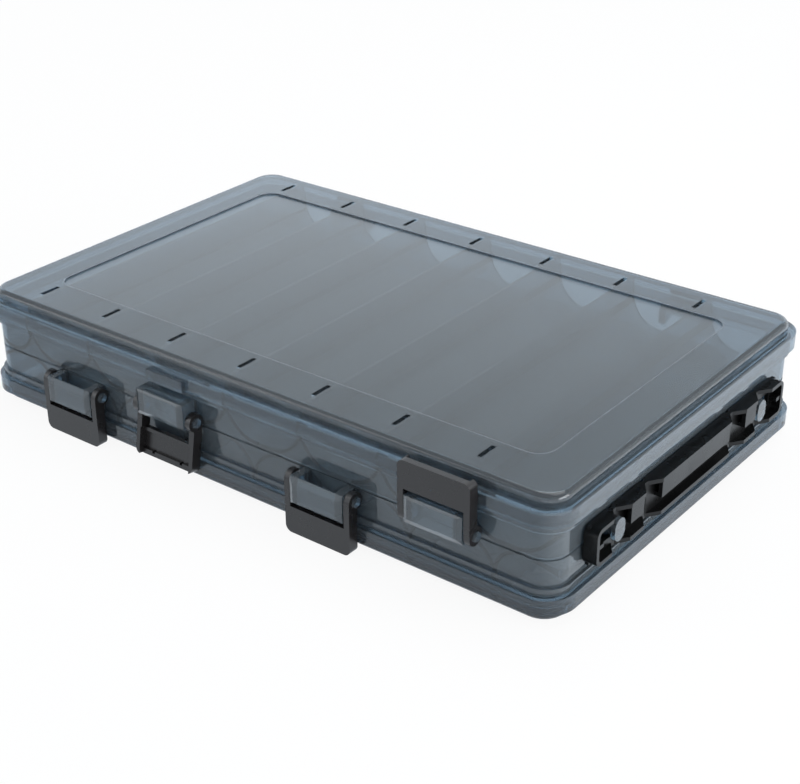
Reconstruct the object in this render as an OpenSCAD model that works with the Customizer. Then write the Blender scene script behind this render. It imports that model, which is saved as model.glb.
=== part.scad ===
// Reversible lure box: two trays back to back, a lid on each face, four side latches and
// a strap handle. X runs along the length, -Y is the latch side, +X the handle side, Z is up.
// Everything is in millimetres. The lower half is the upper half turned over end for end.

/* [Case] */
// Length over the lid rims
case_length = 270; // [230:1:330]
// Depth over the lid rims, front to back
case_depth = 171; // [140:1:210]
// Height of the closed case
case_height = 47; // [46:0.5:58]
// Plan corner radius of the case wall
wall_corner_radius = 9; // [7:0.5:16]
// Thickness of the outer wall of the trays
wall = 1.8; // [1.4:0.1:2.6]

/* [Lids] */
// Height of the band of the lid that stands in line with the wall
skirt_height = 4.3; // [3.8:0.1:5.5]
// Height of the proud rim below that band
rim_height = 5.9; // [4.5:0.1:6.5]
// How far the rim stands out from the wall
rim_reach = 3; // [2.4:0.1:3.4]
// Thickness of the lid's face
lid_thickness = 2; // [1.6:0.1:2.4]
// Rounding of the lid's top edge
lid_edge_radius = 2.6; // [1.5:0.1:3.2]
// Width of the margin between the wall line and the sunk panel, at the short sides
panel_margin_x = 17.5; // [14:0.1:26]
// Width of the same margin at the long sides, where the vents are
panel_margin_y = 20; // [18:0.1:26]
// Depth of the sunk panel
panel_depth = 0.8; // [0.4:0.1:1]
// Corner radius of the sunk panel
panel_corner_radius = 7; // [4:0.5:12]
// Clearance between the lid and the tray wall, all round
lid_clearance = 0.4; // [0.35:0.05:0.6]

/* [Vents] */
// Number of vent slots along each long side, each over one divider
vent_count = 7; // [3:1:7]
// Spacing of the vent slots and of the dividers
vent_pitch = 34.5; // [24:0.5:36]
// Offset of the row of slots from the middle
vent_offset = -6; // [-10:0.5:10]
// Distance from the wall line to the middle of a slot
vent_inset = 12.5; // [11:0.1:13.5]
// Length of a slot, front to back
vent_length = 8.5; // [5:0.5:10]
// Width of a slot
vent_width = 1.8; // [1.2:0.1:3]

/* [Trays] */
// Thickness of the dividers and floors
divider = 1.4; // [1.1:0.1:1.8]
// Rounding of each compartment's floor
floor_radius = 13; // [6:0.5:13]
// How far the ledge under the lid rim stands out
ledge_reach = 1.2; // [0.8:0.1:1.6]
// Height of that ledge
ledge_height = 2.7; // [1.5:0.1:3.5]

/* [Latches] */
// Distance from the middle to the upper half's nearer latch
upper_near_latch = 31; // [24:0.5:36]
// Distance from the end of the case to the upper half's other latch
upper_end_latch = 44; // [42:0.5:50]
// Distance from the middle to the lower half's nearer latch
lower_near_latch = 42; // [34:0.5:50]
// Distance from the end of the case to the lower half's other latch
lower_end_latch = 54.5; // [50:0.5:60]
// Width of a latch
latch_width = 28.6; // [26:0.2:33]
// Width of each latch arm
latch_arm = 2.4; // [2.2:0.1:3.6]
// Thickness of the latch plate
latch_plate = 1.3; // [1:0.1:1.8]
// Height of the latch plate, from its lip to the window
latch_plate_height = 10.5; // [9:0.5:11]
// Radius of the stub pins that a latch turns on
latch_pin_radius = 1.9; // [1.5:0.05:2]
// Gap between a pin and its hole, on the radius
pin_clearance = 0.05; // [0.03:0.01:0.1]
// How far the open latch is turned in the rest pose, in degrees
open_turn = 170; // [160:1:170]

/* [Lid hinges] */
// Distance from the end of the case to each hinge
hinge_inset = 50; // [43:1:75]
// Length of the lid's knuckle
knuckle_length = 14; // [10:0.5:20]
// Radius of the knuckles
knuckle_radius = 3.2; // [3:0.1:3.3]
// Radius of the hinge pins
hinge_pin_radius = 1.25; // [1:0.05:1.5]
// Thickness of each hinge ear of the tray
hinge_ear = 3; // [2:0.1:4]

/* [Handle] */
// Length of the strap handle
handle_length = 130; // [124:1:136]
// Height of the strap
handle_height = 14; // [13.5:0.5:16]
// Distance between the two pegs
peg_spacing = 99.4; // [96:0.1:102]
// Length of each link between the grip and a peg
link_length = 20; // [18.5:0.1:21]
// How far the handle's middle is off the case's middle, front to back
handle_offset = -2; // [-6:0.5:6]
// How far the strap stands out from the case wall
handle_reach = 6; // [5.6:0.1:7.5]

/* [Hidden] */
$fn = 48;
smoke = [0.42, 0.46, 0.52];
black_plastic = [0.09, 0.09, 0.1];
steel = [0.7, 0.71, 0.73];
// Small overlap that lets joined shapes become one solid
join = 0.2;

// Case, lid and tray levels, seen on the upper half
half_x = case_length / 2 - rim_reach;
half_y = case_depth / 2 - rim_reach;
mid_z = case_height / 2;
lid_depth = skirt_height + rim_height;
rim_bottom = case_height - lid_depth;
rim_top = case_height - skirt_height;
step_depth = 6.2;
fit_gap = 0.2;
tray_top = case_height - step_depth - fit_gap;
divider_top = case_height - lid_thickness - 2 * fit_gap;
tray_base = mid_z + 0.05;
ledge_top = rim_bottom - 0.3;
groove = 0.35;
vent_y = half_y - vent_inset;

// Rooms of a tray: the middles of the dividers between them, which stand under the vent slots
vent_places = [for (i = [0 : vent_count - 1]) vent_offset + vent_pitch * (i - (vent_count - 1) / 2)];
room_end = half_x - wall + divider / 2;
room_edges = concat([-room_end], vent_places, [room_end]);
divider_setback = 0.6;

// Latch, seen at its pivot: y is zero at the pivot and the outside is -y
pivot_out = 4;
pivot_y = -half_y - pivot_out;
pivot_z = mid_z + 2.8;
plate_front = -3.5;
cheek_back = 0.7;
lip_back = -1.1;
latch_tip = case_height - 0.5 - pivot_z;
plate_bottom = latch_tip - latch_plate_height;
arm_end_radius = latch_pin_radius + 1.5;
arm_gap = 0.4;
bracket_half = latch_width / 2 - latch_arm - arm_gap;
bracket_ear = 3.3;
bracket_front = 4.5;
bracket_plate = 1.6;
bracket_cap = 1.3;
bracket_slot = 0.9;
bracket_top = plate_bottom - 2;
bracket_low = tray_base - pivot_z;
catch_half = 9;
catch_reach = 1.7;
catch_height = 4.4;
stub_end = latch_width / 2 + 0.7;
upper_latches = [-upper_near_latch, case_length / 2 - upper_end_latch];
lower_latches = [-lower_near_latch, case_length / 2 - lower_end_latch];

// Lid hinge
hinge_x = case_length / 2 - hinge_inset;
axis_y = half_y + 5.5;
axis_z = rim_bottom - knuckle_radius - 0.4;
bore_radius = hinge_pin_radius + pin_clearance;
ear_gap = 0.3;
hinge_half = knuckle_length / 2 + ear_gap + hinge_ear;

// Handle, seen with y zero at the middle of the strap
strap_back = half_x + 0.7;
strap_front = half_x + handle_reach;
web = 1.4;
flex_x = half_x + 2;
peg_y = peg_spacing / 2;
inner_flex = peg_y - link_length;
flange = 1.5;
nose_radius = web / 2;
seat_radius = nose_radius + 0.1;
// Where a web that ends in a seat begins, past the neighbour's nose
seat_edge = 0.39;
end_corner = 3;
strap_low = mid_z - handle_height / 2;
notch_base = 0.9;
front_notch = 5.7;
back_notch = 1.6;
neck_half = 1.5;
neck_height = 4.8;
slot_height = neck_height + 0.6;
slot_reach = 9.8;
head_back = flex_x + nose_radius + 0.9;
head_front = strap_front - 0.8;
head_half = 3.1;
head_height = 8.4;

// Front to back, the brackets and the hinges reach differently, so the case is moved a little
// to put the middle of its bounding box on the origin
front_reach = half_y + pivot_out + bracket_front;
back_reach = axis_y + knuckle_radius;
shift_x = (case_length / 2 - strap_front) / 2;
shift_y = (front_reach - back_reach) / 2;

// ---- Shapes shared by several pieces ----

// Upright slab with round plan corners, standing on z = 0
module slab(x, y, radius, height) {
    linear_extrude(height) {
        square([2 * (x - radius), 2 * y], center = true);
        square([2 * x, 2 * (y - radius)], center = true);
        for (side = [-1, 1], end = [-1, 1])
            translate([side * (x - radius), end * (y - radius)]) circle(radius);
    }
}

// Slab that follows the case wall, moved out by a given distance, between two levels
module wall_slab(out, low, high) {
    translate([0, 0, low])
        slab(half_x + out, half_y + out, wall_corner_radius + out, high - low);
}

// Section with its top right edge rounded, from the axis out to a given reach
module rounded_section(reach, height, edge) {
    square([reach - edge, height]);
    square([reach, height - edge]);
    translate([reach - edge, height - edge]) circle(edge);
}

// The same section on both sides of the middle
module mirrored_section(reach, height, edge) {
    rounded_section(reach, height, edge);
    mirror([1, 0]) rounded_section(reach, height, edge);
}

// Slab with round plan corners and a rounded top edge
module soft_slab(x, y, radius, height, edge) {
    corner_x = x - radius;
    corner_y = y - radius;
    for (side = [-1, 1], end = [-1, 1])
        translate([side * corner_x, end * corner_y, 0])
            rotate_extrude() rounded_section(radius, height, edge);
    translate([0, corner_y, 0]) rotate([90, 0, 0])
        linear_extrude(2 * corner_y) mirrored_section(x, height, edge);
    translate([-corner_x, 0, 0]) rotate([90, 0, 90])
        linear_extrude(2 * corner_x) mirrored_section(y, height, edge);
}

// Round bar along X, centred on x = 0
module bar(radius, length) {
    rotate([0, 90, 0]) cylinder(r = radius, h = length, center = true);
}

// Side outline drawn in Y and Z, spread along X and centred on x = 0
module spread(length) {
    rotate([90, 0, 90]) linear_extrude(length, center = true) children();
}

// Turns the upper half into the lower half
module turn_over() {
    translate([0, 0, case_height]) rotate([0, 180, 0]) children();
}

// Moves case positions into the part's frame
module place() {
    translate([shift_x, shift_y, 0]) children();
}

// ---- Lids ----

module lid_shell() {
    difference() {
        union() {
            translate([0, 0, rim_bottom])
                soft_slab(half_x, half_y, wall_corner_radius, lid_depth, lid_edge_radius);
            wall_slab(rim_reach, rim_bottom, rim_top);
        }
        wall_slab(lid_clearance, rim_bottom - join, case_height - step_depth);
        wall_slab(-wall, rim_bottom - join, case_height - lid_thickness);
        lid_panel();
        vents();
    }
}

module lid_panel() {
    translate([0, 0, case_height - panel_depth])
        slab(half_x - panel_margin_x, half_y - panel_margin_y, panel_corner_radius, panel_depth + join);
}

module vents() {
    for (x = vent_places, side = [-1, 1])
        translate([x, side * vent_y, case_height])
            cube([vent_width, vent_length, 3 * lid_thickness], center = true);
}

// The catch under each latch lip
module catches(places) {
    for (x = places)
        translate([x - catch_half, -half_y - rim_reach - catch_reach, rim_bottom])
            cube([2 * catch_half, catch_reach + join, catch_height]);
}

// Knuckle that hangs from the rim at the back, round the hinge axis
module lid_knuckles() {
    inner = half_y + rim_reach - 1;
    top = rim_top - 0.9;
    // The outer side ends on the knuckle's round, at this angle above the axis
    slope = 30;
    for (x = [-hinge_x, hinge_x])
        translate([x, 0, 0])
            difference() {
                union() {
                    translate([0, axis_y, axis_z]) bar(knuckle_radius, knuckle_length);
                    spread(knuckle_length)
                        polygon([
                            [inner, rim_bottom + join],
                            [inner, top],
                            [inner + 1.6, top],
                            [axis_y + knuckle_radius * cos(slope), axis_z + knuckle_radius * sin(slope)],
                            [axis_y, axis_z],
                            [axis_y - knuckle_radius, axis_z],
                            [axis_y - knuckle_radius, rim_bottom + join]
                        ]);
                }
                translate([0, axis_y, axis_z]) bar(bore_radius, knuckle_length + 1);
            }
}

module lid(latches) {
    lid_shell();
    catches(latches);
    lid_knuckles();
}

// ---- Trays ----

// Upright U with rounded lower corners
module trough_section(width, low, high, radius) {
    for (side = [-1, 1])
        translate([side * (width / 2 - radius), low + radius]) circle(radius);
    translate([radius - width / 2, low]) square([width - 2 * radius, high - low]);
    translate([-width / 2, low + radius]) square([width, high - low - radius]);
}

// Sections of all the rooms, grown by a given distance
module room_sections(grow, low, high) {
    for (i = [0 : vent_count]) {
        width = room_edges[i + 1] - room_edges[i] - divider;
        radius = min(floor_radius, width / 2 - 0.5);
        translate([(room_edges[i] + room_edges[i + 1]) / 2, 0])
            trough_section(width + 2 * grow, low, high, radius + grow);
    }
}

// Row of troughs before it is trimmed to the case
module troughs() {
    rotate([90, 0, 0]) linear_extrude(case_depth, center = true)
        difference() {
            room_sections(divider, tray_base, divider_top);
            room_sections(0, tray_base + divider, divider_top + join);
        }
}

module compartments() {
    intersection() {
        troughs();
        union() {
            wall_slab(-wall / 2, tray_base, tray_top);
            wall_slab(-wall - divider_setback, tray_base, divider_top);
        }
    }
}

// Outer wall with a fine groove at the joint between the trays
module tray_wall() {
    difference() {
        union() {
            wall_slab(0, tray_base + groove, tray_top);
            wall_slab(-groove, tray_base, tray_top);
            wall_slab(ledge_reach, ledge_top - ledge_height, ledge_top);
        }
        wall_slab(-wall, mid_z - join, tray_top + join);
    }
}

// Side outline of a latch bracket, y and z measured from the pivot. The front's upper edge is
// bevelled a little and its lower edge more
module bracket_side() {
    back = pivot_out + wall / 2;
    bevel = 0.7;
    deep_bevel = [1.2, 2.2];
    polygon([
        [back, bracket_low], [back, bracket_top],
        [bevel - bracket_front, bracket_top], [-bracket_front, bracket_top - bevel],
        [-bracket_front, bracket_low + deep_bevel.y], [deep_bevel.x - bracket_front, bracket_low]
    ]);
}

// Plan outline of a bracket, with its two front corners bevelled
module bracket_plan() {
    back = pivot_out + wall / 2;
    bevel = [1.7, 0.8];
    polygon([
        [bracket_half, back], [-bracket_half, back],
        [-bracket_half, bevel.y - bracket_front], [bevel.x - bracket_half, -bracket_front],
        [bracket_half - bevel.x, -bracket_front], [bracket_half, bevel.y - bracket_front]
    ]);
}

// Bracket that carries one latch: a box with stub pins, open at the joint between the trays and
// with a slot in its cap, behind the front plate
module bracket() {
    inner_half = bracket_half - bracket_ear;
    inner_front = bracket_plate - bracket_front;
    difference() {
        intersection() {
            spread(2 * bracket_half) bracket_side();
            translate([0, 0, bracket_low]) linear_extrude(bracket_top - bracket_low) bracket_plan();
        }
        translate([-inner_half, inner_front, bracket_low - join])
            cube([2 * inner_half, pivot_out - inner_front, bracket_top - bracket_low - bracket_cap]);
        translate([-inner_half, inner_front, bracket_low])
            cube([2 * inner_half, bracket_slot, 2 * bracket_top]);
    }
    stub_length = stub_end - bracket_half + join;
    for (side = [-1, 1])
        translate([side * (stub_end - stub_length / 2), 0, 0]) bar(latch_pin_radius, stub_length);
}

module hinge_ears() {
    back = half_y - wall / 2;
    // The lower side leaves the ear's round at this angle below the axis
    slope = 53;
    ear_middle = knuckle_length / 2 + ear_gap + hinge_ear / 2;
    for (x = [-hinge_x, hinge_x], side = [-1, 1])
        translate([x + side * ear_middle, 0, 0])
            spread(hinge_ear) {
                translate([axis_y, axis_z]) circle(knuckle_radius);
                polygon([
                    [back, axis_z + knuckle_radius], [axis_y, axis_z + knuckle_radius],
                    [axis_y + knuckle_radius * cos(slope), axis_z - knuckle_radius * sin(slope)],
                    [back, axis_z - knuckle_radius - 3]
                ]);
            }
}

// Upper half of the two pegs that carry the handle
module peg_halves() {
    for (side = [-1, 1])
        translate([0, handle_offset + side * peg_y, mid_z])
            intersection() {
                union() {
                    translate([half_x - wall / 2, -neck_half, -neck_height / 2])
                        cube([head_back - half_x + wall, 2 * neck_half, neck_height]);
                    translate([head_back, 0, 0]) rotate([0, 90, 0])
                        linear_extrude(head_front - head_back) peg_outline();
                }
                translate([half_x - wall, -head_height, 0])
                    cube([strap_front - half_x + wall, 2 * head_height, head_height]);
            }
}

// Long round outline of a peg head
module peg_outline() {
    straight = head_height - 2 * head_half;
    square([straight, 2 * head_half], center = true);
    for (end = [-1, 1])
        translate([end * straight / 2, 0]) circle(head_half);
}

module tray_half(latches) {
    difference() {
        union() {
            tray_wall();
            compartments();
            for (x = latches)
                translate([x, pivot_y, pivot_z]) bracket();
            hinge_ears();
        }
        for (x = [-hinge_x, hinge_x])
            translate([x, axis_y, axis_z]) bar(bore_radius, 2 * hinge_half + 1);
    }
}

module upper_tray() {
    color(smoke) place() {
        tray_half(upper_latches);
        peg_halves();
    }
}

module lower_tray() {
    color(smoke) place() {
        turn_over() tray_half(lower_latches);
        translate([0, 0, case_height]) mirror([0, 0, 1]) peg_halves();
    }
}

module top_lid() {
    color(smoke) place() lid(upper_latches);
}

module bottom_lid() {
    color(smoke) place() turn_over() lid(lower_latches);
}

// ---- Latches ----

// Side outline of a latch arm, y and z measured from the pivot
module arm_outline() {
    circle(arm_end_radius);
    polygon([
        [-arm_end_radius, 0], [plate_front, 3], [plate_front, plate_bottom + 1],
        [cheek_back, plate_bottom + 1], [cheek_back, 0]
    ]);
}

// Front outline of the latch plate with its two free corners rounded
module plate_outline() {
    corner = 2.6;
    half = latch_width / 2;
    translate([-half, plate_bottom]) square([latch_width, latch_plate_height - corner]);
    translate([corner - half, plate_bottom])
        square([latch_width - 2 * corner, latch_plate_height]);
    for (side = [-1, 1])
        translate([side * (half - corner), latch_tip - corner]) circle(corner);
}

// Closed latch with its pivot at the origin
module latch() {
    arm_middle = (latch_width - latch_arm) / 2;
    pocket_half = latch_width / 2 - 1.8;
    lip = 2;
    notch_x = 7;
    notch = [1.2, 2, 0.8];
    difference() {
        union() {
            for (side = [-1, 1])
                translate([side * arm_middle, 0, 0]) spread(latch_arm) arm_outline();
            translate([0, cheek_back, 0]) rotate([90, 0, 0])
                linear_extrude(cheek_back - plate_front) plate_outline();
        }
        // Hollow behind the plate, between its lip and the window's edge
        translate([-pocket_half, plate_front + latch_plate, plate_bottom + latch_plate])
            cube([2 * pocket_half, cheek_back - plate_front, latch_plate_height - latch_plate - lip]);
        // The lip and the window's edge stay clear of the catch
        translate([-pocket_half, lip_back, plate_bottom - join])
            cube([2 * pocket_half, cheek_back - plate_front, latch_plate_height + 1]);
        // Two notches in the lip, on the side of the hollow
        for (x = [-notch_x, notch_x])
            translate([x - notch.x / 2, lip_back - notch.y, latch_tip - lip - join])
                cube([notch.x, notch.y + 1, notch.z + join]);
        // Holes for the stub pins
        bar(latch_pin_radius + pin_clearance, latch_width + 1);
    }
}

// Moves a latch to its pivot on the upper half
module latch_place(x) {
    translate([x, pivot_y, pivot_z]) children();
}

module latch_left_top() {
    color(black_plastic) place() latch_place(upper_latches[0]) rotate([open_turn, 0, 0]) latch();
}

module latch_right_top() {
    color(black_plastic) place() latch_place(upper_latches[1]) latch();
}

module latch_left_bottom() {
    color(black_plastic) place() turn_over() latch_place(lower_latches[1]) latch();
}

module latch_right_bottom() {
    color(black_plastic) place() turn_over() latch_place(lower_latches[0]) latch();
}

// ---- Hinge pins ----

module hinge_pin(x) {
    translate([x, axis_y, axis_z]) bar(hinge_pin_radius, 2 * hinge_half);
}

module hinge_pin_top_left() {
    color(steel) place() hinge_pin(-hinge_x);
}

module hinge_pin_top_right() {
    color(steel) place() hinge_pin(hinge_x);
}

module hinge_pin_bottom_left() {
    color(steel) place() turn_over() hinge_pin(hinge_x);
}

module hinge_pin_bottom_right() {
    color(steel) place() turn_over() hinge_pin(-hinge_x);
}

// ---- Handle ----

// Plan outline of a flange between two distances from the middle, notched where it flexes
module flange_outline(inner, outer, notch_inner, notch_outer) {
    front_in = inner + (notch_inner ? front_notch : 0);
    back_in = inner + (notch_inner ? back_notch : 0);
    base_in = inner + (notch_inner ? notch_base : 0);
    front_out = outer - (notch_outer ? front_notch : 0);
    back_out = outer - (notch_outer ? back_notch : 0);
    base_out = outer - (notch_outer ? notch_base : 0);
    web_back = flex_x - nose_radius;
    web_front = flex_x + nose_radius;
    polygon([
        [strap_back, back_in], [web_back, base_in], [web_front, base_in], [strap_front, front_in],
        [strap_front, front_out], [web_front, base_out], [web_back, base_out], [strap_back, back_out]
    ]);
}

// Upright plate of the strap between two distances, over its full height
module web_plate(inner, outer) {
    translate([flex_x - nose_radius, inner, strap_low]) cube([web, outer - inner, handle_height]);
}

module flex_bar(y, radius) {
    translate([flex_x, y, strap_low - join]) cylinder(r = radius, h = handle_height + 2 * join);
}

// Two flanges, one above and one below
module flanges(inner, outer, notch_inner, notch_outer) {
    for (z = [strap_low, strap_low + handle_height - flange])
        translate([0, 0, z]) linear_extrude(flange)
            flange_outline(inner, outer, notch_inner, notch_outer);
}

// Front cover over the upper half of the strap, set back from the notches
module cover(inner, outer, inner_setback, outer_setback) {
    cover_thickness = 1.5;
    inset = 0.3;
    translate([strap_front - cover_thickness - inset, inner + inner_setback, mid_z])
        cube([cover_thickness, outer - inner - inner_setback - outer_setback,
            handle_height / 2 - join]);
    translate([flex_x, inner + inner_setback, mid_z - 0.7])
        cube([strap_front - inset - flex_x, outer - inner - inner_setback - outer_setback, 1.4]);
}

module grip() {
    notch_setback = front_notch + 0.3;
    difference() {
        web_plate(seat_edge - inner_flex, inner_flex - seat_edge);
        for (side = [-1, 1]) flex_bar(side * inner_flex, seat_radius);
    }
    flanges(-inner_flex, inner_flex, true, true);
    cover(-inner_flex, inner_flex, notch_setback, notch_setback);
}

// Link on the +Y side of the grip
module link() {
    notch_setback = front_notch + 0.3;
    notch_depth = neck_half + 0.9;
    difference() {
        union() {
            web_plate(inner_flex, peg_y);
            for (y = [inner_flex, peg_y])
                translate([flex_x, y, strap_low]) cylinder(r = nose_radius, h = handle_height);
        }
        translate([flex_x - web, peg_y - notch_depth, mid_z - slot_height / 2])
            cube([2 * web, notch_depth + web, slot_height]);
    }
    flanges(inner_flex, peg_y, true, true);
    cover(inner_flex, peg_y, notch_setback, notch_setback);
}

// Outline of an end block in Y and Z, set in by a given distance
module end_outline(end_y, inset) {
    far = end_y - inset;
    half = handle_height / 2 - inset;
    corner = end_corner - inset;
    translate([0, -half]) square([far - corner, 2 * half]);
    translate([0, corner - half]) square([far, 2 * (half - corner)]);
    for (side = [-1, 1])
        translate([far - corner, side * (half - corner)]) circle(corner);
}

// Band of flange thickness that follows that outline
module end_band(end_y) {
    difference() {
        end_outline(end_y, 0);
        end_outline(end_y, flange);
    }
}

// End block on the +Y side, with the slot that slides over the peg
module end_block() {
    end_y = handle_length / 2;
    rib_start = peg_y + slot_reach + 1;
    difference() {
        web_plate(peg_y + seat_edge, end_y - flange / 2);
        flex_bar(peg_y, seat_radius);
        translate([flex_x - web, peg_y - 1, mid_z - slot_height / 2])
            cube([2 * web, slot_reach + 1, slot_height]);
    }
    // Flanges that meet in a closing wall with round corners
    intersection() {
        translate([0, 0, strap_low]) linear_extrude(handle_height)
            flange_outline(peg_y, end_y, true, false);
        translate([strap_back, 0, mid_z]) rotate([90, 0, 90])
            linear_extrude(strap_front - strap_back) end_band(end_y);
    }
    // Rib at mid height
    translate([flex_x, rib_start, mid_z - flange / 2])
        cube([strap_front - flex_x - 0.3, end_y - rib_start - join, flange]);
}

// Handle pieces on their side of the case, near is towards the latches
module handle_place() {
    color(black_plastic) place() translate([0, handle_offset, 0]) children();
}

module handle_grip() {
    handle_place() grip();
}

module handle_link_near() {
    handle_place() mirror([0, 1, 0]) link();
}

module handle_link_far() {
    handle_place() link();
}

module handle_end_near() {
    handle_place() mirror([0, 1, 0]) end_block();
}

module handle_end_far() {
    handle_place() end_block();
}

upper_tray();
lower_tray();
top_lid();
bottom_lid();
latch_left_top();
latch_right_top();
latch_left_bottom();
latch_right_bottom();
hinge_pin_top_left();
hinge_pin_top_right();
hinge_pin_bottom_left();
hinge_pin_bottom_right();
handle_grip();
handle_link_near();
handle_link_far();
handle_end_near();
handle_end_far();
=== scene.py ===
import math

import bpy
from mathutils import Matrix, Vector


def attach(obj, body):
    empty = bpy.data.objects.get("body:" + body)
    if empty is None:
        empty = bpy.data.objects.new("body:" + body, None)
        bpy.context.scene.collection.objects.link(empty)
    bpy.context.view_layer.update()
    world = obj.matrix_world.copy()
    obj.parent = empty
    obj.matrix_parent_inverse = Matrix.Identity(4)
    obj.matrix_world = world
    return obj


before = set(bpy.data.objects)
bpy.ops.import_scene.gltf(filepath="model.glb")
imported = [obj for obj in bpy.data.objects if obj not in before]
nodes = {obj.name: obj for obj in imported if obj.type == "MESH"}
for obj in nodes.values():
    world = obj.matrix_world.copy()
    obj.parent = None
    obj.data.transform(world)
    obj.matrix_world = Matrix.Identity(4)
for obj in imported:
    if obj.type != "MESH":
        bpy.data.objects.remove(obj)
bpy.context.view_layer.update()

MM = 0.001

# ---- Camera, worked out from the photo's perspective ----

CAMERA_AZIMUTH = math.radians(37.992)
CAMERA_ELEVATION = math.radians(27.873)
CAMERA_ROLL = math.radians(-0.462)
CAMERA_DISTANCE = 559.204 * MM
CAMERA_TARGET = Vector((41.150, -44.477, 40.0)) * MM
CAMERA_LENS = 71.870
SENSOR_WIDTH = 36.0
CLIP_NEAR = 0.01
CLIP_FAR = 20.0


def add_camera():
    """Puts the camera at the photo's viewpoint and makes it the scene's camera."""
    data = bpy.data.cameras.new("camera")
    data.sensor_width = SENSOR_WIDTH
    data.lens = CAMERA_LENS
    data.clip_start = CLIP_NEAR
    data.clip_end = CLIP_FAR
    camera = bpy.data.objects.new("camera", data)
    bpy.context.scene.collection.objects.link(camera)
    flat = math.cos(CAMERA_ELEVATION)
    back = Vector((
        math.sin(CAMERA_AZIMUTH) * flat,
        -math.cos(CAMERA_AZIMUTH) * flat,
        math.sin(CAMERA_ELEVATION),
    ))
    side = Vector((0, 0, 1)).cross(back).normalized()
    up = back.cross(side)
    turn, lean = math.cos(CAMERA_ROLL), math.sin(CAMERA_ROLL)
    right = turn * side + lean * up
    above = turn * up - lean * side
    place = CAMERA_TARGET + back * CAMERA_DISTANCE
    camera.matrix_world = Matrix((
        (right.x, above.x, back.x, place.x),
        (right.y, above.y, back.y, place.y),
        (right.z, above.z, back.z, place.z),
        (0, 0, 0, 1),
    ))
    bpy.context.scene.camera = camera


# ---- Helpers for node materials ----

# The part of a noise's values that is spread over the wanted range
NOISE_MIDDLE = (0.3, 0.7)
NOISE_DETAIL = 3.0


def new_material(name):
    """An empty node material with its output, as (material, make, link, output)."""
    material = bpy.data.materials.new(name)
    material.use_nodes = True
    tree = material.node_tree
    tree.nodes.clear()
    output = tree.nodes.new("ShaderNodeOutputMaterial")
    return material, tree.nodes.new, tree.links.new, output


def feed(link, socket, value):
    """Sets a socket to a value, or links it where the value is another socket."""
    if isinstance(value, bpy.types.NodeSocket):
        link(value, socket)
    else:
        socket.default_value = value


def math_node(make, link, operation, first, second):
    """A clamped math node on two values, each a socket or a number."""
    node = make("ShaderNodeMath")
    node.operation = operation
    node.use_clamp = True
    feed(link, node.inputs[0], first)
    feed(link, node.inputs[1], second)
    return node.outputs["Value"]


def map_range(make, link, value, source, result):
    """A value mapped from one range to another, whose ends are sockets or numbers."""
    node = make("ShaderNodeMapRange")
    feed(link, node.inputs["Value"], value)
    ends = ("From Min", "From Max", "To Min", "To Max")
    for name, end in zip(ends, (*source, *result)):
        feed(link, node.inputs[name], end)
    return node.outputs["Result"]


def mix_colour(make, link, factor, first, second):
    """The first colour where the factor is 0, and the second where it is 1."""
    node = make("ShaderNodeMix")
    node.data_type = "RGBA"
    feed(link, node.inputs["Factor"], factor)
    feed(link, node.inputs["A"], (*first, 1))
    feed(link, node.inputs["B"], (*second, 1))
    return node.outputs["Result"]


def coordinate(make, link, space, axis):
    """One coordinate of the shaded point, or of the direction where the shader is a world's."""
    place = make("ShaderNodeTexCoord")
    parts = make("ShaderNodeSeparateXYZ")
    link(place.outputs[space], parts.inputs["Vector"])
    return parts.outputs[axis]


def object_noise(make, link, scale, detail=NOISE_DETAIL):
    """Noise in object space, so it stays on the piece when it moves."""
    place = make("ShaderNodeTexCoord")
    noise = make("ShaderNodeTexNoise")
    noise.inputs["Scale"].default_value = scale
    noise.inputs["Detail"].default_value = detail
    link(place.outputs["Object"], noise.inputs["Vector"])
    return noise.outputs["Fac"]


def bump_from(make, link, height, distance, strength):
    """A bump normal from a height."""
    bump = make("ShaderNodeBump")
    bump.inputs["Distance"].default_value = distance
    bump.inputs["Strength"].default_value = strength
    link(height, bump.inputs["Height"])
    return bump.outputs["Normal"]


def cloudy_shader(make, link, colour, ior, cloud_scale, roughness):
    """A glossy shader whose roughness drifts softly within a range over the piece."""
    shader = make("ShaderNodeBsdfPrincipled")
    shader.inputs["Base Color"].default_value = (*colour, 1)
    shader.inputs["IOR"].default_value = ior
    cloud = object_noise(make, link, cloud_scale)
    link(map_range(make, link, cloud, NOISE_MIDDLE, roughness), shader.inputs["Roughness"])
    return shader


# ---- Materials ----

PLASTIC_IOR = 1.5
STEEL_IOR = 1.5
# The strap's black is duller than the latches' black
STRAP_IOR = 1.3

# The clear plastic's colour at its surface, and the colour that a thick layer takes
TRAY_TINT = (0.49, 0.56, 0.61)
LID_TINT = (0.61, 0.66, 0.70)
DEPTH_TINT = (0.39, 0.53, 0.62)
TRAY_DENSITY = 500
LID_DENSITY = 340
TRAY_CLEARNESS = 0.87
LID_CLEARNESS = 0.95
SMOKE_CLOUD_SCALE = 60
RIPPLE_SCALE = 35
RIPPLE_DETAIL = 1.0
RIPPLE_DEPTH = 0.4 * MM
RIPPLE_STRENGTH = 0.02

LATCH_BLACK = (0.014, 0.012, 0.012)
STRAP_BLACK = (0.004, 0.004, 0.004)
# Light grey of the panel bead: a painted highlight along the edge of each lid's sunk panel
BEAD_HIGHLIGHT_GREY = (0.22, 0.25, 0.29)
SATIN_CLOUD_SCALE = 90
LATCH_GRAIN_SCALE = 1400
STRAP_GRAIN_SCALE = 1100
BEAD_GRAIN_SCALE = 900
GRAIN_DETAIL = 4.0
GRAIN_DEPTH = 0.03 * MM
BEAD_GRAIN_DEPTH = 0.01 * MM
GRAIN_STRENGTH = 0.4

STEEL_COLOUR = (0.62, 0.62, 0.63)
STEEL_MARKS_SCALE = 900


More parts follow.
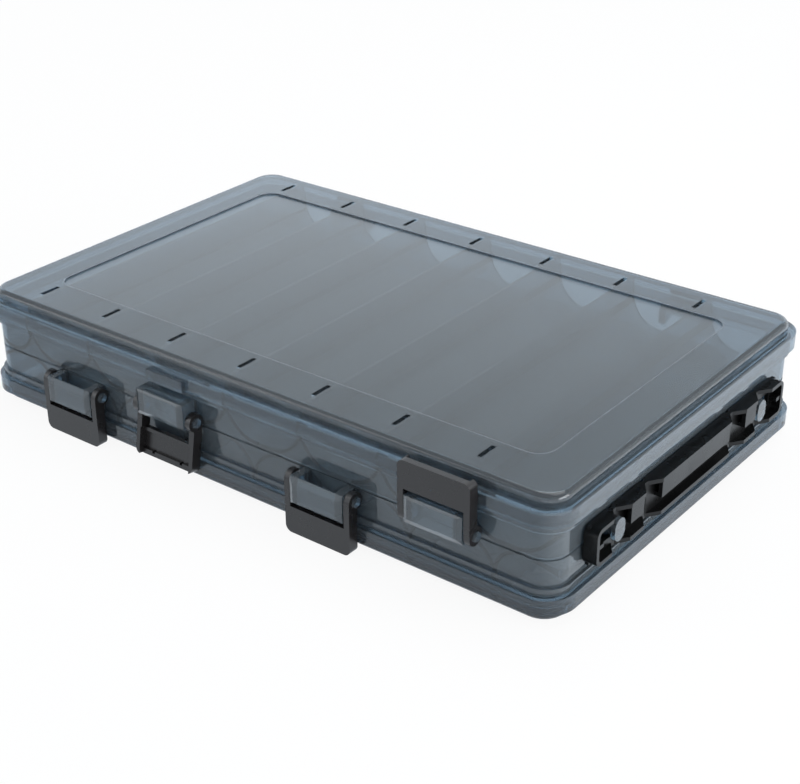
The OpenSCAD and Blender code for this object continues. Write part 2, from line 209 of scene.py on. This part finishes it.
def smoke_plastic(name, colour, clearness, density, roughness):
    """Translucent smoke-grey moulded plastic: tinted, glossy and faintly rippled."""
    material, make, link, output = new_material(name)
    shader = cloudy_shader(make, link, colour, PLASTIC_IOR, SMOKE_CLOUD_SCALE, roughness)
    shader.inputs["Transmission Weight"].default_value = clearness
    ripple = object_noise(make, link, RIPPLE_SCALE, detail=RIPPLE_DETAIL)
    link(bump_from(make, link, ripple, RIPPLE_DEPTH, RIPPLE_STRENGTH), shader.inputs["Normal"])
    volume = make("ShaderNodeVolumeAbsorption")
    volume.inputs["Color"].default_value = (*DEPTH_TINT, 1)
    volume.inputs["Density"].default_value = density
    link(shader.outputs["BSDF"], output.inputs["Surface"])
    link(volume.outputs["Volume"], output.inputs["Volume"])
    return material


def satin_plastic(name, colour, roughness, grain_scale, grain_depth=GRAIN_DEPTH, ior=PLASTIC_IOR):
    """Solid moulded plastic with a fine satin grain."""
    material, make, link, output = new_material(name)
    shader = cloudy_shader(make, link, colour, ior, SATIN_CLOUD_SCALE, roughness)
    grain = object_noise(make, link, grain_scale, detail=GRAIN_DETAIL)
    link(bump_from(make, link, grain, grain_depth, GRAIN_STRENGTH), shader.inputs["Normal"])
    link(shader.outputs["BSDF"], output.inputs["Surface"])
    return material


def drawn_steel(name, roughness):
    """Bright steel wire with fine marks."""
    material, make, link, output = new_material(name)
    shader = cloudy_shader(make, link, STEEL_COLOUR, STEEL_IOR, STEEL_MARKS_SCALE, roughness)
    shader.inputs["Metallic"].default_value = 1.0
    link(shader.outputs["BSDF"], output.inputs["Surface"])
    return material


tray_material = smoke_plastic(
    "smoke_tray", TRAY_TINT, TRAY_CLEARNESS, TRAY_DENSITY, roughness=(0.04, 0.09),
)
lid_material = smoke_plastic(
    "smoke_lid", LID_TINT, LID_CLEARNESS, LID_DENSITY, roughness=(0.03, 0.06),
)
latch_material = satin_plastic(
    "latch_black", LATCH_BLACK, roughness=(0.22, 0.34), grain_scale=LATCH_GRAIN_SCALE,
)
handle_material = satin_plastic(
    "handle_black", STRAP_BLACK, roughness=(0.22, 0.36), grain_scale=STRAP_GRAIN_SCALE, ior=STRAP_IOR,
)
steel_material = drawn_steel("pin_steel", roughness=(0.22, 0.36))
# The panel bead's material, whose light grey paints a highlight along each lid panel's edge
bead_highlight_material = satin_plastic(
    "bead_highlight_grey", BEAD_HIGHLIGHT_GREY, roughness=(0.20, 0.30),
    grain_scale=BEAD_GRAIN_SCALE, grain_depth=BEAD_GRAIN_DEPTH,
)


# ---- Finish of every piece: its material and how far its edges are rounded ----

EDGE_STEPS = 2
# Corners that bend more than this count as edges
EDGE_ANGLE = math.radians(35)

TRAY_EDGE = 0.22 * MM
LID_EDGE = 0.45 * MM
LATCH_EDGE = 0.35 * MM
HANDLE_EDGE = 0.3 * MM
PIN_EDGE = 0.2 * MM

TRAY_NODES = ("upper_tray", "lower_tray")
LID_NODES = ("top_lid", "bottom_lid")
LATCH_NODES = [name for name in nodes if name.startswith("latch_")]
HANDLE_NODES = [name for name in nodes if name.startswith("handle_")]
PIN_NODES = [name for name in nodes if "_pin_" in name]


def paint(piece, material):
    """Gives a piece one material."""
    piece.data.materials.clear()
    piece.data.materials.append(material)


def soften(piece, width):
    """Rounds a piece's sharp edges, as moulded plastic has them."""
    for polygon in piece.data.polygons:
        polygon.use_smooth = True
    bevel = piece.modifiers.new("soft_edges", "BEVEL")
    bevel.width = width
    bevel.segments = EDGE_STEPS
    bevel.limit_method = "ANGLE"
    bevel.angle_limit = EDGE_ANGLE
    bevel.harden_normals = True


def finish(names, material, edge):
    """Paints and softens every named piece."""
    for name in names:
        paint(nodes[name], material)
        soften(nodes[name], edge)


finish(TRAY_NODES, tray_material, TRAY_EDGE)
finish(LID_NODES, lid_material, LID_EDGE)
finish(LATCH_NODES, latch_material, LATCH_EDGE)
finish(HANDLE_NODES, handle_material, HANDLE_EDGE)
finish(PIN_NODES, steel_material, PIN_EDGE)


# ---- Thin light grey bead round the sunk panel of each lid: a painted highlight along the panel's edge ----

CASE_HEIGHT = 47.0 * MM
PANEL_HALF = (114.5 * MM, 62.5 * MM)
PANEL_MIDDLE = (-1.5 * MM, -0.1 * MM)
PANEL_CORNER = 7.0 * MM
CORNER_STEPS = 8
BEAD_RADIUS = 0.25 * MM
BEAD_SIDES = 6


def panel_path():
    """Points and outward directions along the panel's outline."""
    points = []
    for quarter in range(4):
        start = quarter * math.pi / 2
        side_x = 1 if quarter in (0, 3) else -1
        side_y = 1 if quarter in (0, 1) else -1
        centre_x = PANEL_MIDDLE[0] + side_x * (PANEL_HALF[0] - PANEL_CORNER)
        centre_y = PANEL_MIDDLE[1] + side_y * (PANEL_HALF[1] - PANEL_CORNER)
        for step in range(CORNER_STEPS + 1):
            angle = start + step / CORNER_STEPS * math.pi / 2
            out = Vector((math.cos(angle), math.sin(angle), 0))
            points.append((Vector((centre_x, centre_y, 0)) + PANEL_CORNER * out, out))
    return points


def add_highlight_bead(name, body, height):
    """A thin round bead of light grey along the panel's outline at the given height, riding on the
    lid; its light grey is a painted highlight along the panel's edge.
    """
    path = panel_path()
    vertices = []
    for point, out in path:
        for side in range(BEAD_SIDES):
            angle = 2 * math.pi * side / BEAD_SIDES
            ring = BEAD_RADIUS * (math.cos(angle) * out + math.sin(angle) * Vector((0, 0, 1)))
            vertices.append(point + ring + Vector((0, 0, height)))
    faces = []
    for i in range(len(path)):
        here = i * BEAD_SIDES
        after = (i + 1) % len(path) * BEAD_SIDES
        for side in range(BEAD_SIDES):
            beside = (side + 1) % BEAD_SIDES
            faces.append((here + side, after + side, after + beside, here + beside))
    mesh = bpy.data.meshes.new(name)
    mesh.from_pydata(vertices, [], faces)
    for polygon in mesh.polygons:
        polygon.use_smooth = True
    mesh.materials.append(bead_highlight_material)
    bead = bpy.data.objects.new(name, mesh)
    bpy.context.scene.collection.objects.link(bead)
    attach(bead, body)


add_highlight_bead("top_panel_highlight_bead", "top_lid", CASE_HEIGHT - BEAD_RADIUS)
add_highlight_bead("bottom_panel_highlight_bead", "bottom_lid", BEAD_RADIUS)


# ---- Floor, light and surroundings ----

PLAIN_WHITE = (1.0, 1.0, 1.0)
# White surroundings look cooler in reflections than through the plastic
COOL_WHITE = (0.91, 0.985, 1.06)
WARM_WHITE = (1.02, 0.99, 0.94)

FLOOR_REACH = 6.0
FLOOR_DROP = 0.02 * MM
FLOOR_GREY = (0.93, 0.93, 0.93)
# How much of the floor that is seen glows, the rest of it takes light and shadow
GLOW_SHARE = 0.92
# The floor's mirror image gets brighter over this band, on the handle's side of the case
RIGHT_BAND = (0.13, 0.20)
RIGHT_GLOW = 2.4

# The surroundings shine most below this band of heights, on a sphere of radius one
HORIZON_BAND = (0.32, 0.50)
HORIZON_GLOW = 1.55
OVERHEAD_GLOW = 1.0
# Their strength as plain light on the pieces
SOFT_GLOW = 0.62


def add_floor():
    """A white floor, white to the camera and in reflections, that keeps a faint shadow."""
    mesh = bpy.data.meshes.new("floor")
    corners = ((-1, -1), (1, -1), (1, 1), (-1, 1))
    mesh.from_pydata([(x * FLOOR_REACH, y * FLOOR_REACH, 0) for x, y in corners], [], [(0, 1, 2, 3)])
    floor = bpy.data.objects.new("floor", mesh)
    bpy.context.scene.collection.objects.link(floor)
    floor.location.z = -FLOOR_DROP
    material, make, link, output = new_material("floor_white")
    plain = make("ShaderNodeBsdfDiffuse")
    plain.inputs["Color"].default_value = (*FLOOR_GREY, 1)
    path = make("ShaderNodeLightPath").outputs
    direct = path["Is Camera Ray"]
    # The floor is plain white to the camera; its mirror image is cooler and brightest at the right
    rightwards = map_range(
        make, link, coordinate(make, link, "Object", "X"), RIGHT_BAND, (1.0, RIGHT_GLOW),
    )
    glow = make("ShaderNodeEmission")
    link(mix_colour(make, link, direct, COOL_WHITE, PLAIN_WHITE), glow.inputs["Color"])
    link(map_range(make, link, direct, (0.0, 1.0), (rightwards, 1.0)), glow.inputs["Strength"])
    mirrored = math_node(make, link, "SUBTRACT", path["Is Glossy Ray"], path["Is Transmission Ray"])
    seen = math_node(make, link, "MAXIMUM", direct, mirrored)
    mix = make("ShaderNodeMixShader")
    link(math_node(make, link, "MULTIPLY", seen, GLOW_SHARE), mix.inputs["Fac"])
    link(plain.outputs["BSDF"], mix.inputs[1])
    link(glow.outputs["Emission"], mix.inputs[2])
    link(mix.outputs["Shader"], output.inputs["Surface"])
    mesh.materials.append(material)


def add_world():
    """White surroundings: bright where they are seen, most near the horizon, and soft as light."""
    world = bpy.data.worlds.new("studio")
    world.use_nodes = True
    bpy.context.scene.world = world
    tree = world.node_tree
    tree.nodes.clear()
    make, link = tree.nodes.new, tree.links.new
    output = make("ShaderNodeOutputWorld")
    height = coordinate(make, link, "Generated", "Z")
    bright = map_range(make, link, height, HORIZON_BAND, (HORIZON_GLOW, OVERHEAD_GLOW))
    path = make("ShaderNodeLightPath").outputs
    through = path["Is Transmission Ray"]
    sharp = math_node(make, link, "MAXIMUM", path["Is Glossy Ray"], through)
    seen = math_node(make, link, "MAXIMUM", path["Is Camera Ray"], sharp)
    background = make("ShaderNodeBackground")
    link(mix_colour(make, link, through, COOL_WHITE, WARM_WHITE), background.inputs["Color"])
    link(map_range(make, link, seen, (0.0, 1.0), (SOFT_GLOW, bright)), background.inputs["Strength"])
    link(background.outputs["Background"], output.inputs["Surface"])


def add_lamp(name, place, target, size, watts):
    """A soft rectangular lamp that shines at a target."""
    data = bpy.data.lights.new(name, "AREA")
    data.shape = "RECTANGLE"
    data.size, data.size_y = size
    data.energy = watts
    lamp = bpy.data.objects.new(name, data)
    bpy.context.scene.collection.objects.link(lamp)
    lamp.location = place
    lamp.rotation_euler = (Vector(target) - Vector(place)).to_track_quat("-Z", "Y").to_euler()


add_camera()
add_floor()
add_world()
add_lamp("overhead", place=(0.1, 0.35, 1.1), target=(0, 0, 0), size=(1.2, 0.7), watts=5.0)
add_lamp("left_front", place=(-0.9, -0.8, 0.8), target=(0, 0, 0.02), size=(0.5, 0.9), watts=2.0)
add_lamp("right", place=(1.3, 0.15, 0.35), target=(0, 0, 0.02), size=(1.0, 0.5), watts=11.0)

bpy.context.scene.view_settings.view_transform = "Standard"
